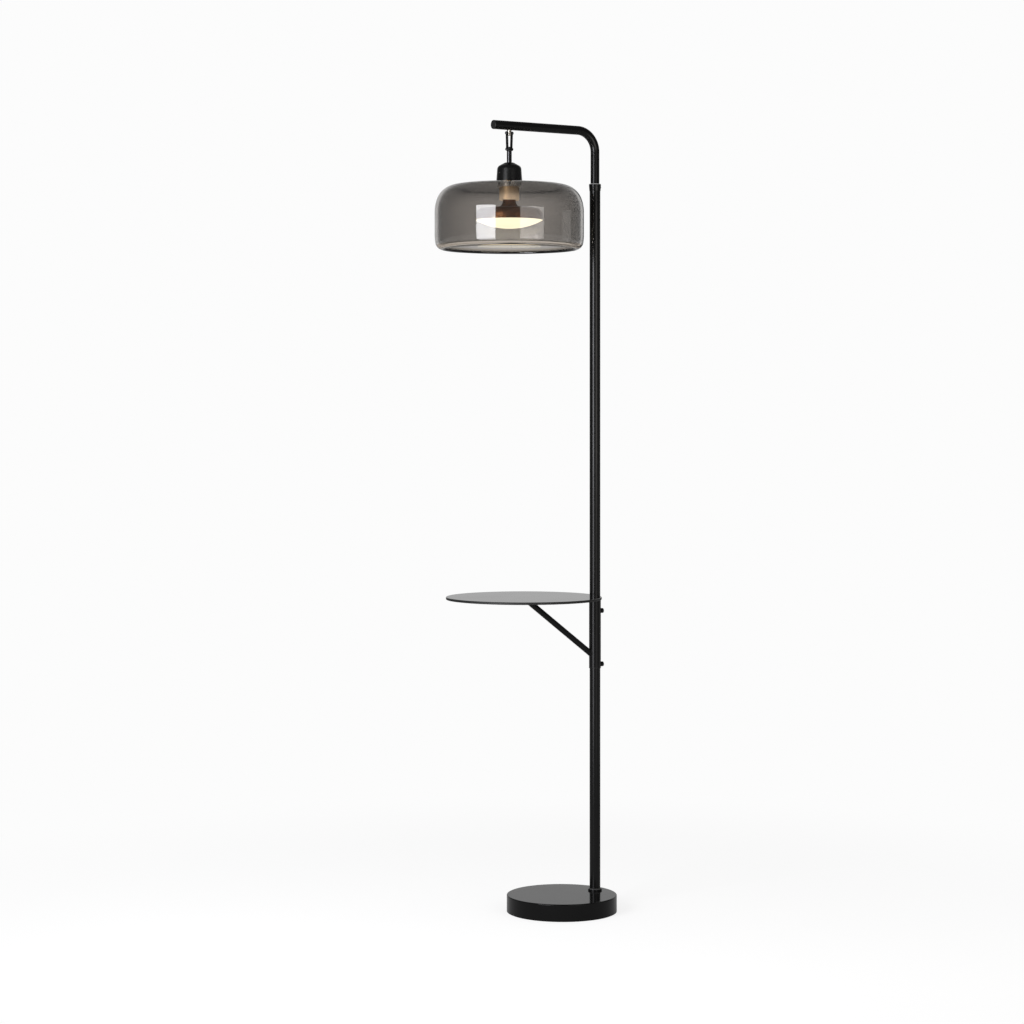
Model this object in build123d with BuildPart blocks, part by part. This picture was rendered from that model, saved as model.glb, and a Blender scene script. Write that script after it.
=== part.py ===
from build123d import *
from math import acos, asin, cos, degrees, radians, sin, sqrt
import os

os.makedirs("parts", exist_ok=True)

# A floor lamp: weighted round base, offset pole, swivelling bent arm, glass drum shade
# hung on two links, and a round shelf on a bracket that slides and turns on the pole.
# Millimetres. The origin is the middle of the base on the floor, +Z is up and the arm
# reaches towards -X.

# Fits
fit = 0.05  # radial room of pieces that are pressed, screwed or welded together
running = 0.05  # radial room of pieces that turn or slide
side_play = 0.25  # room beside each hinge link

# Base
base_diameter = 224.0
base_height = 35.0
cover_wall = 1.2
cover_edge = 2.0  # rounding of the cover's top edge
pad_thickness = 2.0
pad_proud = 1.0  # how far the pad stands below the cover
pad_inset = 1.0
weight_gap = 0.2  # room between the weight and the cover's side
pole_inset = 31.0  # pole axis in from the base's edge
pocket_diameter = 36.0
pocket_depth = 17.0
channel_width = 15.0

# Pole foot
nipple_diameter = 10.0
nipple_bore = 7.0
nipple_tail = 2.0  # thread left below the nut
nut_flats = 17.0
nut_height = 5.0
washer_diameter = 28.0
washer_thickness = 2.0
plug_length = 25.0
collar_diameter = 28.5
collar_height = 5.0
collar_chamfer = 2.0

# Cord inlet
inlet_bore = 7.0
inlet_neck = 10.0
inlet_flange = 13.0
inlet_lip = 1.6

# Pole
pole_diameter = 22.0
pole_wall = 1.2
pole_joint = 560.0  # height of the butt joint of the two tubes
coupler_length = 60.0
coupler_bore = 10.0

# Ferrule at the top of the pole
ferrule_diameter = 24.6
ferrule_flange = 10.5  # part above the pole's end
ferrule_skirt = 4.0  # part round the pole
ferrule_land = 2.5  # straight part of the outside, below the top
ferrule_edge = 1.2  # chamfer of the top edge
ferrule_lip = 0.5  # wall at the lower edge of the skirt
set_screw_diameter = 4.0
set_screw_drop = 7.0  # below the ferrule's top
set_screw_proud = 1.4
set_screw_flats = 2.0
set_screw_recess = 1.6
seat_floor = 4.0
seat_wall_height = 12.0
seat_bore = 10.0
seat_play = 0.1  # the arm's end above the seat's floor

# Arm
lamp_height = 1600.0  # floor to the top of the arm
arm_diameter = 18.2
arm_wall = 1.2
arm_bend = 42.0  # bend radius of the tube's middle line
arm_reach = 245.0  # pole axis to the free end
arm_rise = 107.35  # arm's middle line above the ferrule's top
arm_insert = 50.0  # length of tube below the ferrule's top
end_cap_flange = 2.0
end_cap_edge = 1.2
end_cap_spigot = 10.0

# Hanger
head_setback = 38.5  # shade's axis in from the arm's free end
pin_drop = 6.05  # upper pin below the underside of the arm
lug_diameter = 8.6
lug_foot = 5.0  # end of the lug below its pin
lug_edge = 1.5
link_pitch = 32.4
link_width = 6.5
link_thickness = 2.0
link_boss = 4.5  # straight end of a link, from its pin
pin_diameter = 4.0
pin_head_diameter = 7.0
pin_head_height = 3.0
tongue_thickness = 7.0
tongue_shoulder = 5.0  # full stem below the lower pin

# Stem and socket cap
stem_diameter = 10.0
stem_drop = 27.2  # lower pin to the top of the cap
stem_thread = 8.0
stem_thread_length = 14.0
cap_height = 39.0
cap_top_diameter = 19.0
cap_shoulder_diameter = 48.0
cap_shoulder_drop = 8.0
cap_base_diameter = 52.4
cap_shoulder_round = 9.0
cap_wall = 1.6
gasket_thickness = 1.5
gasket_margin = 0.6

# Glass shade
shade_diameter = 300.0
shade_height = 134.6  # rim to the middle of the crown
glass = 6.0  # wall and lip
crown_glass = 3.0  # the crown is thinner, and the shoulder tapers to it
barrel_radius = 80.0  # upper part of the wall, drawn in towards the shoulder
barrel_angle = 20.0  # how far that part turns in
shoulder_radius = 42.0
crown_angle = 5.0  # slope of the crown where it meets the shoulder
lower_radius = 110.0  # lower part of the wall, drawn in towards the lip
lower_angle = 9.0  # how far that part turns in
lip_radius = 16.0
lip_angle = 80.0  # how far the lip rolls in
shade_hole = 42.0

# Lampholder
holder_diameter = 40.0
holder_wall = 1.5
holder_below_seat = 34.4  # lower edge below the glass's seat
holder_height = 56.0
holder_roof = 3.0
holder_edge = 1.0
boss_diameter = 12.0
insert_bore = 27.0
insert_setback = 2.0
insert_roof = 6.0
contact_diameter = 9.0
contact_thickness = 1.5
ring_diameter = 48.0
ring_height = 4.0
ring_edge = 1.0

# Lamp
lamp_cap_diameter = 26.0
lamp_tip_diameter = 10.0
lamp_tip_height = 4.0
lamp_neck = 8.0  # housing inside the holder
lamp_diameter = 134.6
lamp_flare_height = 16.5  # holder's edge to the top of the disc
lamp_flare_diameter = 60.0
lamp_disc_height = 24.0
lamp_shoulder = 14.0
lamp_recess = 6.0
lamp_rim = 2.5
lamp_skin = 2.5  # roof of the housing above its driver space
board_thickness = 1.6
dome_depth = 17.0
dome_wall = 1.5

# Shelf
shelf_diameter = 314.0
shelf_thickness = 5.0
shelf_bevel = 0.7
shelf_top = 643.3
shelf_reach = 172.0  # pole axis to the middle of the shelf
plate_diameter = 110.0
plate_thickness = 2.0
screw_spacing = 84.0
screw_diameter = 5.0
screw_head_diameter = 9.0
screw_head_height = 3.0
strip_width = 22.0
strip_thickness = 3.0
strip_end = 12.0  # strip beyond the outer screw
sleeve_wall = 0.6
sleeve_length = 144.0
bush_wall = 0.4
bush_length = 36.0
bush_flange = 1.5
brace_diameter = 12.0
brace_wall = 1.2
brace_foot = 522.0  # height where the brace's middle line meets the sleeve
brace_setback = 11.0  # brace's upper end short of the shelf's middle

# Thumbscrews
thumb_drop = 28.4  # upper screw below the top of the sleeve
thumb_rise = 6.0  # lower screw above the sleeve's lower end
thumb_diameter = 5.0
thumb_head_diameter = 10.0
thumb_head_length = 5.0
thumb_flutes = 12
thumb_flute_diameter = 1.6
thumb_gap = 0.5  # head clear of the boss
boss_length = 1.6
thumb_boss_diameter = 9.0

# Derived places
base_radius = base_diameter / 2
pole_offset = base_radius - pole_inset
cover_inside = base_radius - cover_wall
weight_radius = cover_inside - weight_gap
weight_top = base_height - cover_wall
pocket_ceiling = pad_thickness + pocket_depth
inlet_height = pad_thickness + pocket_depth / 2
pole_radius = pole_diameter / 2
pole_inside = pole_radius - pole_wall
nipple_radius = nipple_diameter / 2

arm_radius = arm_diameter / 2
arm_inside = arm_radius - arm_wall
arm_height = lamp_height - arm_radius
ferrule_top = arm_height - arm_rise
pole_top = ferrule_top - ferrule_flange
arm_bottom = ferrule_top - arm_insert
set_screw_height = ferrule_top - set_screw_drop
set_screw_inner = arm_radius + running
arm_end = pole_offset - arm_reach

head_x = arm_end + head_setback
upper_pin = arm_height - arm_radius - pin_drop
lower_pin = upper_pin - link_pitch
pin_radius = pin_diameter / 2
upper_link_inner = lug_diameter / 2 + side_play
lower_link_inner = tongue_thickness / 2 + side_play

stem_radius = stem_diameter / 2
cap_top = lower_pin - stem_drop
cap_bottom = cap_top - cap_height

shade_radius = shade_diameter / 2
shade_hole_radius = shade_hole / 2
barrel_centre_x = shade_radius - barrel_radius
shoulder_offset = barrel_radius - shoulder_radius
shoulder_centre_x = barrel_centre_x + shoulder_offset * cos(radians(barrel_angle))
crown_edge_x = shoulder_centre_x + shoulder_radius * sin(radians(crown_angle))
crown_radius = crown_edge_x / sin(radians(crown_angle))
crown_rise = crown_radius * (1 - cos(radians(crown_angle)))
crown_sag_at_hole = crown_radius - sqrt(crown_radius**2 - shade_hole_radius**2)
seat_height = cap_bottom - gasket_thickness
shade_top = seat_height + crown_sag_at_hole
shoulder_centre_z = shade_top - crown_rise - shoulder_radius * cos(radians(crown_angle))
barrel_centre_z = shoulder_centre_z - shoulder_offset * sin(radians(barrel_angle))
shoulder_sweep = 90 - crown_angle - barrel_angle
crown_centre_z = shade_top - crown_radius
inner_crown = crown_radius - crown_glass
inner_barrel = barrel_radius - glass
inner_start_x = barrel_centre_x + inner_barrel * cos(radians(barrel_angle))
inner_start_z = barrel_centre_z + inner_barrel * sin(radians(barrel_angle))
inner_start_rise = inner_start_z - crown_centre_z
inner_slant = inner_start_x * cos(radians(barrel_angle)) + inner_start_rise * sin(radians(barrel_angle))
inner_excess = inner_start_x**2 + inner_start_rise**2 - inner_crown**2
inner_shoulder = inner_excess / (2 * (inner_slant - inner_crown))
inner_centre_x = inner_start_x - inner_shoulder * cos(radians(barrel_angle))
inner_centre_z = inner_start_z - inner_shoulder * sin(radians(barrel_angle))
inner_crown_angle = degrees(asin(inner_centre_x / (inner_crown - inner_shoulder)))
inner_sweep = 90 - inner_crown_angle - barrel_angle
lower_centre_x = shade_radius - lower_radius
lip_offset = lower_radius - lip_radius
lip_centre_x = lower_centre_x + lip_offset * cos(radians(lower_angle))
lip_centre_z = shade_top - shade_height + lip_radius
lower_centre_z = lip_centre_z + lip_offset * sin(radians(lower_angle))
lip_sweep = lip_angle - lower_angle
rim_radius = lip_radius - glass / 2

holder_radius = holder_diameter / 2
holder_inside = holder_radius - holder_wall
holder_bottom = seat_height - holder_below_seat
holder_top = holder_bottom + holder_height
holder_ceiling = holder_top - holder_roof
insert_bottom = holder_bottom + insert_setback
insert_ceiling = holder_ceiling - insert_roof
ring_radius = ring_diameter / 2
ring_top = crown_centre_z + sqrt(inner_crown**2 - ring_radius**2)

lamp_cap_bottom = holder_bottom + lamp_neck
lamp_tip_top = insert_ceiling - contact_thickness
lamp_cap_top = lamp_tip_top - lamp_tip_height
lamp_radius = lamp_diameter / 2
lamp_disc_top = holder_bottom - lamp_flare_height
lamp_disc_bottom = lamp_disc_top - lamp_disc_height
recess_radius = lamp_radius - lamp_rim
dome_sphere = (lamp_radius**2 + dome_depth**2) / (2 * dome_depth)
dome_centre = lamp_disc_bottom - dome_depth + dome_sphere
dome_inside = dome_sphere - dome_wall

shelf_x = pole_offset - shelf_reach
shelf_bottom = shelf_top - shelf_thickness
plate_bottom = shelf_bottom - plate_thickness
strip_bottom = plate_bottom - strip_thickness
strip_reach = shelf_reach + screw_spacing / 2 + strip_end
brace_reach = shelf_reach - brace_setback
bush_inside = pole_radius + running
bush_outside = bush_inside + bush_wall
sleeve_inside = bush_outside + running
sleeve_radius = sleeve_inside + sleeve_wall
sleeve_top = plate_bottom
sleeve_bottom = sleeve_top - sleeve_length
thumb_heights = {
    "thumbscrew_upper": sleeve_top - thumb_drop,
    "thumbscrew_lower": sleeve_bottom + thumb_rise,
}
thumb_tip = bush_outside + running
boss_end = sleeve_radius + boss_length
thumb_head_start = boss_end + thumb_gap

# Axes, and upright section planes whose first direction is the radius
pole_axis = Axis((pole_offset, 0, 0), (0, 0, 1))
head_axis = Axis((head_x, 0, 0), (0, 0, 1))
pole_section = Plane(origin=(pole_offset, 0, 0), x_dir=(1, 0, 0), z_dir=(0, -1, 0))
head_section = Plane(origin=(head_x, 0, 0), x_dir=(1, 0, 0), z_dir=(0, -1, 0))
head_side = Plane.YZ.offset(head_x)
pole_side = Plane.YZ.offset(pole_offset)


# Foam pad under the base
with BuildPart() as floor_pad:
    with BuildSketch():
        Circle(cover_inside - pad_inset)
    extrude(amount=pad_thickness)

# Cast weight, with a pocket for the pole's nut and a channel for the lead
with BuildPart() as base_weight:
    with BuildSketch(Plane.XY.offset(pad_thickness)):
        Circle(weight_radius)
    extrude(amount=weight_top - pad_thickness)
    fillet(base_weight.edges().group_by(Axis.Z)[-1], radius=cover_edge)
    with BuildSketch(Plane.XY.offset(pad_thickness)):
        with Locations((pole_offset, 0)):
            Circle(pocket_diameter / 2)
        with Locations((pole_offset, 0)):
            Rectangle(base_radius, channel_width, align=(Align.MIN, Align.CENTER))
    extrude(amount=pocket_depth, mode=Mode.SUBTRACT)
    with BuildSketch(Plane.XY.offset(pad_thickness)):
        with Locations((pole_offset, 0)):
            Circle(nipple_radius + fit)
    extrude(amount=weight_top - pad_thickness, mode=Mode.SUBTRACT)

# Spun steel cover
with BuildPart() as base_cover:
    with BuildSketch(Plane.XY.offset(pad_proud)):
        Circle(base_radius)
    extrude(amount=base_height - pad_proud)
    fillet(base_cover.edges().group_by(Axis.Z)[-1], radius=cover_edge)
    offset(amount=-cover_wall, openings=base_cover.faces().sort_by(Axis.Z)[0])
    with BuildSketch(Plane.XY.offset(weight_top)):
        with Locations((pole_offset, 0)):
            Circle(nipple_radius + fit)
    extrude(amount=2 * cover_wall, mode=Mode.SUBTRACT)
    with BuildSketch(pole_side):
        with Locations((0, inlet_height)):
            Circle(inlet_neck / 2 + fit)
    extrude(amount=base_radius, mode=Mode.SUBTRACT)

# Rubber inlet bush at the back of the base, grooved to hold the cover's edge
inlet_inner_face = sqrt(cover_inside**2 - (inlet_flange / 2) ** 2) - fit
with BuildPart() as cord_inlet:
    with BuildSketch(Plane.YZ.offset(inlet_inner_face - inlet_lip)):
        with Locations((0, inlet_height)):
            Circle(inlet_flange / 2)
    extrude(amount=inlet_lip)
    with BuildSketch(Plane.YZ.offset(inlet_inner_face)):
        with Locations((0, inlet_height)):
            Circle(inlet_neck / 2)
    extrude(amount=base_radius + fit - inlet_inner_face)
    with BuildSketch(Plane.YZ.offset(base_radius + fit)):
        with Locations((0, inlet_height)):
            Circle(inlet_flange / 2)
    extrude(amount=inlet_lip)
    fillet(cord_inlet.edges().group_by(Axis.X)[-1], radius=inlet_lip / 2)
    with BuildSketch(pole_side):
        with Locations((0, inlet_height)):
            Circle(inlet_bore / 2)
    extrude(amount=2 * base_radius, mode=Mode.SUBTRACT)

# Hollow threaded nipple that clamps the pole to the base
washer_bottom = pocket_ceiling - washer_thickness
nut_bottom = washer_bottom - nut_height
nipple_bottom = nut_bottom - nipple_tail
with BuildPart() as pole_nipple:
    with BuildSketch(Plane.XY.offset(nipple_bottom)):
        with Locations((pole_offset, 0)):
            Circle(nipple_radius)
            Circle(nipple_bore / 2, mode=Mode.SUBTRACT)
    extrude(amount=base_height + plug_length - nipple_bottom)

with BuildPart() as nipple_washer:
    with BuildSketch(Plane.XY.offset(washer_bottom)):
        with Locations((pole_offset, 0)):
            Circle(washer_diameter / 2)
            Circle(nipple_radius + fit, mode=Mode.SUBTRACT)
    extrude(amount=washer_thickness)

with BuildPart() as nipple_nut:
    with BuildSketch(Plane.XY.offset(nut_bottom)):
        with Locations((pole_offset, 0)):
            RegularPolygon(nut_flats / 2, side_count=6, major_radius=False)
            Circle(nipple_radius + fit, mode=Mode.SUBTRACT)
    extrude(amount=nut_height)

# Threaded plug pressed into the foot of the pole
with BuildPart() as pole_plug:
    with BuildSketch(Plane.XY.offset(base_height)):
        with Locations((pole_offset, 0)):
            Circle(pole_inside - fit)
            Circle(nipple_radius + fit, mode=Mode.SUBTRACT)
    extrude(amount=plug_length)

# Chamfered collar round the foot of the pole
with BuildPart() as foot_collar:
    with BuildSketch(Plane.XY.offset(base_height)):
        with Locations((pole_offset, 0)):
            Circle(collar_diameter / 2)
            Circle(pole_radius + fit, mode=Mode.SUBTRACT)
    extrude(amount=collar_height)
    outer_top = foot_collar.edges().group_by(Axis.Z)[-1].sort_by(SortBy.RADIUS)[-1]
    chamfer(outer_top, length=collar_chamfer)

# Two pole tubes, butted on a coupler inside them
with BuildPart() as pole_lower:
    with BuildSketch(Plane.XY.offset(base_height)):
        with Locations((pole_offset, 0)):
            Circle(pole_radius)
            Circle(pole_inside, mode=Mode.SUBTRACT)
    extrude(amount=pole_joint - base_height)

with BuildPart() as pole_upper:
    with BuildSketch(Plane.XY.offset(pole_joint)):
        with Locations((pole_offset, 0)):
            Circle(pole_radius)
            Circle(pole_inside, mode=Mode.SUBTRACT)
    extrude(amount=pole_top - pole_joint)

with BuildPart() as pole_coupler:
    with BuildSketch(Plane.XY.offset(pole_joint - coupler_length / 2)):
        with Locations((pole_offset, 0)):
            Circle(pole_inside - fit)
            Circle(coupler_bore / 2, mode=Mode.SUBTRACT)
    extrude(amount=coupler_length)

# Tapered ferrule, bored for the arm and stepped over the end of the pole
with BuildPart() as ferrule:
    with BuildSketch(pole_section):
        with BuildLine():
            Polyline(
                (arm_radius + running, ferrule_top),
                (ferrule_diameter / 2 - ferrule_edge, ferrule_top),
                (ferrule_diameter / 2, ferrule_top - ferrule_edge),
                (ferrule_diameter / 2, ferrule_top - ferrule_edge - ferrule_land),
                (pole_radius + ferrule_lip, pole_top - ferrule_skirt),
                (pole_radius + fit, pole_top - ferrule_skirt),
                (pole_radius + fit, pole_top),
                (arm_radius + running, pole_top),
                close=True,
            )
        make_face()
    revolve(axis=pole_axis)
    with BuildSketch(pole_side):
        with Locations((0, set_screw_height)):
            Circle(set_screw_diameter / 2 + fit)
    extrude(amount=ferrule_diameter, mode=Mode.SUBTRACT)

# Socket set screw that holds the arm in the ferrule
with BuildPart() as ferrule_screw:
    with BuildSketch(pole_side.offset(set_screw_inner)):
        with Locations((0, set_screw_height)):
            Circle(set_screw_diameter / 2)
    extrude(amount=ferrule_diameter / 2 + set_screw_proud - set_screw_inner)
    with BuildSketch(pole_side.offset(ferrule_diameter / 2 + set_screw_proud)):
        with Locations((0, set_screw_height)):
            RegularPolygon(set_screw_flats / 2, side_count=6, major_radius=False)
    extrude(amount=-set_screw_recess, mode=Mode.SUBTRACT)

# Nylon cup in the pole that carries the arm's lower end
with BuildPart() as arm_seat:
    with BuildSketch(pole_section):
        with BuildLine():
            Polyline(
                (seat_bore / 2, arm_bottom - seat_play - seat_floor),
                (pole_inside - fit, arm_bottom - seat_play - seat_floor),
                (pole_inside - fit, arm_bottom + seat_wall_height),
                (arm_radius + running, arm_bottom + seat_wall_height),
                (arm_radius + running, arm_bottom - seat_play),
                (seat_bore / 2, arm_bottom - seat_play),
                close=True,
            )
        make_face()
    revolve(axis=pole_axis)

# Bent arm tube
with BuildPart() as arm_tube:
    with BuildLine() as arm_path:
        FilletPolyline(
            (pole_offset, 0, arm_bottom),
            (pole_offset, 0, arm_height),
            (arm_end + end_cap_flange, 0, arm_height),
            radius=arm_bend,
        )
    with BuildSketch(Plane.XY.offset(arm_bottom)):
        with Locations((pole_offset, 0)):
            Circle(arm_radius)
            Circle(arm_inside, mode=Mode.SUBTRACT)
    sweep(path=arm_path.wire())

# Plug that closes the free end of the arm
with BuildPart() as arm_end_cap:
    with BuildSketch(Plane.YZ.offset(arm_end)):
        with Locations((0, arm_height)):
            Circle(arm_radius)
    extrude(amount=end_cap_flange)
    fillet(arm_end_cap.edges().group_by(Axis.X)[0], radius=end_cap_edge)
    with BuildSketch(Plane.YZ.offset(arm_end + end_cap_flange)):
        with Locations((0, arm_height)):
            Circle(arm_inside - fit)
    extrude(amount=end_cap_spigot)

# Turned lug welded under the arm, saddled to the tube and cross-drilled for its pin
with BuildPart() as hanger_lug:
    with BuildSketch(Plane.XY.offset(upper_pin - lug_foot)):
        with Locations((head_x, 0)):
            Circle(lug_diameter / 2)
    extrude(amount=arm_height + lug_foot - upper_pin)
    fillet(hanger_lug.edges().group_by(Axis.Z)[0], radius=lug_edge)
    with BuildSketch(head_side):
        with Locations((0, arm_height)):
            Circle(arm_radius + fit)
        with Locations((0, upper_pin)):
            Circle(pin_radius + fit)
    extrude(amount=lug_diameter, both=True, mode=Mode.SUBTRACT)


# Rivet-headed hinge pin along X, at a height and with half the grip between its heads
def hinge_pin(height, half_grip):
    head_radius = pin_head_diameter / 2
    half_length = half_grip + pin_head_height
    dome_radius = (head_radius**2 + pin_head_height**2) / (2 * pin_head_height)
    dome_sweep = degrees(asin(head_radius / dome_radius))
    with BuildPart() as pin:
        with BuildSketch(head_section):
            with BuildLine():
                Line((-half_length, height), (half_length, height))
                CenterArc((half_length - dome_radius, height), dome_radius, 0, dome_sweep)
                Polyline(
                    (half_grip, height + head_radius),
                    (half_grip, height + pin_radius),
                    (-half_grip, height + pin_radius),
                    (-half_grip, height + head_radius),
                )
                CenterArc((dome_radius - half_length, height), dome_radius, 180, -dome_sweep)
            make_face()
        revolve(axis=Axis((head_x, 0, height), (1, 0, 0)))
    return pin


hanger_upper_pin = hinge_pin(upper_pin, upper_link_inner + link_thickness + side_play)
hanger_lower_pin = hinge_pin(lower_pin, lower_link_inner + link_thickness + side_play)

# Two pressed links, set closer at the stem than at the lug
with BuildPart() as hanger_links:
    with BuildSketch(head_section):
        with BuildLine():
            Polyline(
                (upper_link_inner, upper_pin + link_width),
                (upper_link_inner + link_thickness, upper_pin + link_width),
                (upper_link_inner + link_thickness, upper_pin - link_boss),
                (lower_link_inner + link_thickness, lower_pin + link_boss),
                (lower_link_inner + link_thickness, lower_pin - link_width),
                (lower_link_inner, lower_pin - link_width),
                (lower_link_inner, lower_pin + link_boss),
                (upper_link_inner, upper_pin - link_boss),
                close=True,
            )
        make_face()
    extrude(amount=link_width, both=True)
    with BuildSketch(head_side):
        with Locations((0, (upper_pin + lower_pin) / 2)):
            SlotCenterToCenter(link_pitch, link_width, rotation=90)
        with Locations((0, upper_pin)):
            Circle(pin_radius + running, mode=Mode.SUBTRACT)
        with Locations((0, lower_pin)):
            Circle(pin_radius + fit, mode=Mode.SUBTRACT)
    extrude(amount=lug_diameter + 2 * link_thickness, mode=Mode.INTERSECT)
    mirror(about=head_side)

# Turned stem: a flat tongue for the lower pin above, a thread into the lampholder below
with BuildPart() as stem:
    with BuildSketch(Plane.XY.offset(cap_top)):
        with Locations((head_x, 0)):
            Circle(stem_radius)
    extrude(amount=lower_pin + stem_radius - cap_top)
    with BuildSketch(head_side):
        with Locations((0, lower_pin)):
            Circle(stem_radius)
            Rectangle(stem_diameter, lower_pin - cap_top, align=(Align.CENTER, Align.MAX))
    extrude(amount=stem_diameter, both=True, mode=Mode.INTERSECT)
    with BuildSketch(head_section):
        with Locations((tongue_thickness / 2, lower_pin - tongue_shoulder)):
            Rectangle(stem_diameter, 2 * stem_diameter, align=(Align.MIN, Align.MIN))
        with Locations((-tongue_thickness / 2, lower_pin - tongue_shoulder)):
            Rectangle(stem_diameter, 2 * stem_diameter, align=(Align.MAX, Align.MIN))
    extrude(amount=stem_diameter, both=True, mode=Mode.SUBTRACT)
    with BuildSketch(head_side):
        with Locations((0, lower_pin)):
            Circle(pin_radius + running)
    extrude(amount=stem_diameter, both=True, mode=Mode.SUBTRACT)
    with BuildSketch(Plane.XY.offset(cap_top)):
        with Locations((head_x, 0)):
            Circle(stem_thread / 2)
    extrude(amount=-stem_thread_length)

# Socket cap: a sloped crown, a rounded shoulder and a flaring side
with BuildPart() as socket_cap:
    with BuildSketch(head_section):
        with BuildLine():
            Polyline(
                (0, cap_bottom),
                (cap_base_diameter / 2, cap_bottom),
                (cap_shoulder_diameter / 2, cap_top - cap_shoulder_drop),
                (cap_top_diameter / 2, cap_top),
                (0, cap_top),
                close=True,
            )
        make_face()
    revolve(axis=head_axis)
    fillet(socket_cap.edges().filter_by(GeomType.CIRCLE).sort_by(Axis.Z)[1], radius=cap_shoulder_round)
    offset(amount=-cap_wall, openings=socket_cap.faces().sort_by(Axis.Z)[0])
    with BuildSketch(Plane.XY.offset(cap_bottom)):
        with Locations((head_x, 0)):
            Circle(stem_thread / 2 + fit)
    extrude(amount=2 * cap_height, mode=Mode.SUBTRACT)

# Silicone ring between the cap and the glass
with BuildPart() as shade_gasket:
    with BuildSketch(Plane.XY.offset(seat_height)):
        with Locations((head_x, 0)):
            Circle(cap_base_diameter / 2 - gasket_margin)
            Circle(shade_hole_radius, mode=Mode.SUBTRACT)
    extrude(amount=gasket_thickness)

# Blown glass drum: crown, shoulder, wall drawn in at both ends and rolled lip. The inner shoulder touches
# the inner crown and the inner wall, so the glass thins evenly from the wall to the crown.
with BuildPart() as glass_shade:
    with BuildSketch(head_section):
        with BuildLine():
            outer_crown = CenterArc((0, crown_centre_z), crown_radius, 90 - crown_angle, crown_angle)
            CenterArc((shoulder_centre_x, shoulder_centre_z), shoulder_radius, barrel_angle, shoulder_sweep)
            CenterArc((barrel_centre_x, barrel_centre_z), barrel_radius, 0, barrel_angle)
            Line((shade_radius, barrel_centre_z), (shade_radius, lower_centre_z))
            CenterArc((lower_centre_x, lower_centre_z), lower_radius, 0, -lower_angle)
            outer_lip = CenterArc((lip_centre_x, lip_centre_z), lip_radius, -lower_angle, -lip_sweep)
            inner_lip = CenterArc((lip_centre_x, lip_centre_z), lip_radius - glass, -lower_angle, -lip_sweep)
            CenterArc((lower_centre_x, lower_centre_z), lower_radius - glass, 0, -lower_angle)
            Line((shade_radius - glass, lower_centre_z), (shade_radius - glass, barrel_centre_z))
            CenterArc((barrel_centre_x, barrel_centre_z), inner_barrel, 0, barrel_angle)
            CenterArc((inner_centre_x, inner_centre_z), inner_shoulder, barrel_angle, inner_sweep)
            roof = CenterArc((0, crown_centre_z), inner_crown, 90 - inner_crown_angle, inner_crown_angle)
            rim_middle = (
                lip_centre_x + rim_radius * cos(radians(lip_angle)) - glass / 2 * sin(radians(lip_angle)),
                lip_centre_z - rim_radius * sin(radians(lip_angle)) - glass / 2 * cos(radians(lip_angle)),
            )
            ThreePointArc(outer_lip @ 1, rim_middle, inner_lip @ 1)
            Line(outer_crown @ 1, roof @ 1)
        make_face()
    revolve(axis=head_axis)
    with BuildSketch(Plane.XY.offset(shade_top - shade_height)):
        with Locations((head_x, 0)):
            Circle(shade_hole_radius)
    extrude(amount=2 * shade_height, mode=Mode.SUBTRACT)

# Metal lampholder, screwed on the stem and holding the cap down
with BuildPart() as lampholder:
    with BuildSketch(Plane.XY.offset(holder_bottom)):
        with Locations((head_x, 0)):
            Circle(holder_radius)
    extrude(amount=holder_height)
    fillet(lampholder.edges().group_by(Axis.Z)[0], radius=holder_edge)
    with BuildSketch(Plane.XY.offset(holder_top)):
        with Locations((head_x, 0)):
            Circle(boss_diameter / 2)
    extrude(amount=cap_top - cap_wall - holder_top)
    with BuildSketch(Plane.XY.offset(holder_bottom)):
        with Locations((head_x, 0)):
            Circle(holder_inside)
    extrude(amount=holder_ceiling - holder_bottom, mode=Mode.SUBTRACT)
    with BuildSketch(Plane.XY.offset(holder_ceiling)):
        with Locations((head_x, 0)):
            Circle(stem_thread / 2 + fit)
    extrude(amount=cap_top - holder_ceiling, mode=Mode.SUBTRACT)

# Insulating insert with the lamp's screw socket, and the contact at its end
with BuildPart() as lampholder_insert:
    with BuildSketch(Plane.XY.offset(insert_bottom)):
        with Locations((head_x, 0)):
            Circle(holder_inside - fit)
    extrude(amount=holder_ceiling - insert_bottom)
    with BuildSketch(Plane.XY.offset(insert_bottom)):
        with Locations((head_x, 0)):
            Circle(insert_bore / 2)
    extrude(amount=insert_ceiling - insert_bottom, mode=Mode.SUBTRACT)

with BuildPart() as centre_contact:
    with BuildSketch(Plane.XY.offset(lamp_tip_top)):
        with Locations((head_x, 0)):
            Circle(contact_diameter / 2)
    extrude(amount=contact_thickness)

# Screwed ring that clamps the glass up against the cap
with BuildPart() as shade_ring:
    with BuildSketch(Plane.XY.offset(ring_top - ring_height)):
        with Locations((head_x, 0)):
            Circle(ring_radius)
            Circle(holder_radius + fit, mode=Mode.SUBTRACT)
    extrude(amount=ring_height)
    ring_outer = shade_ring.edges().group_by(Axis.Z)[0].sort_by(SortBy.RADIUS)[-1]
    fillet(ring_outer, radius=ring_edge)

# Screw cap of the lamp
with BuildPart() as lamp_cap:
    with BuildSketch(head_section):
        with BuildLine():
            Polyline(
                (0, lamp_cap_bottom),
                (lamp_cap_diameter / 2, lamp_cap_bottom),
                (lamp_cap_diameter / 2, lamp_cap_top),
                (lamp_tip_diameter / 2, lamp_tip_top),
                (0, lamp_tip_top),
                close=True,
            )
        make_face()
    revolve(axis=head_axis)

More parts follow.
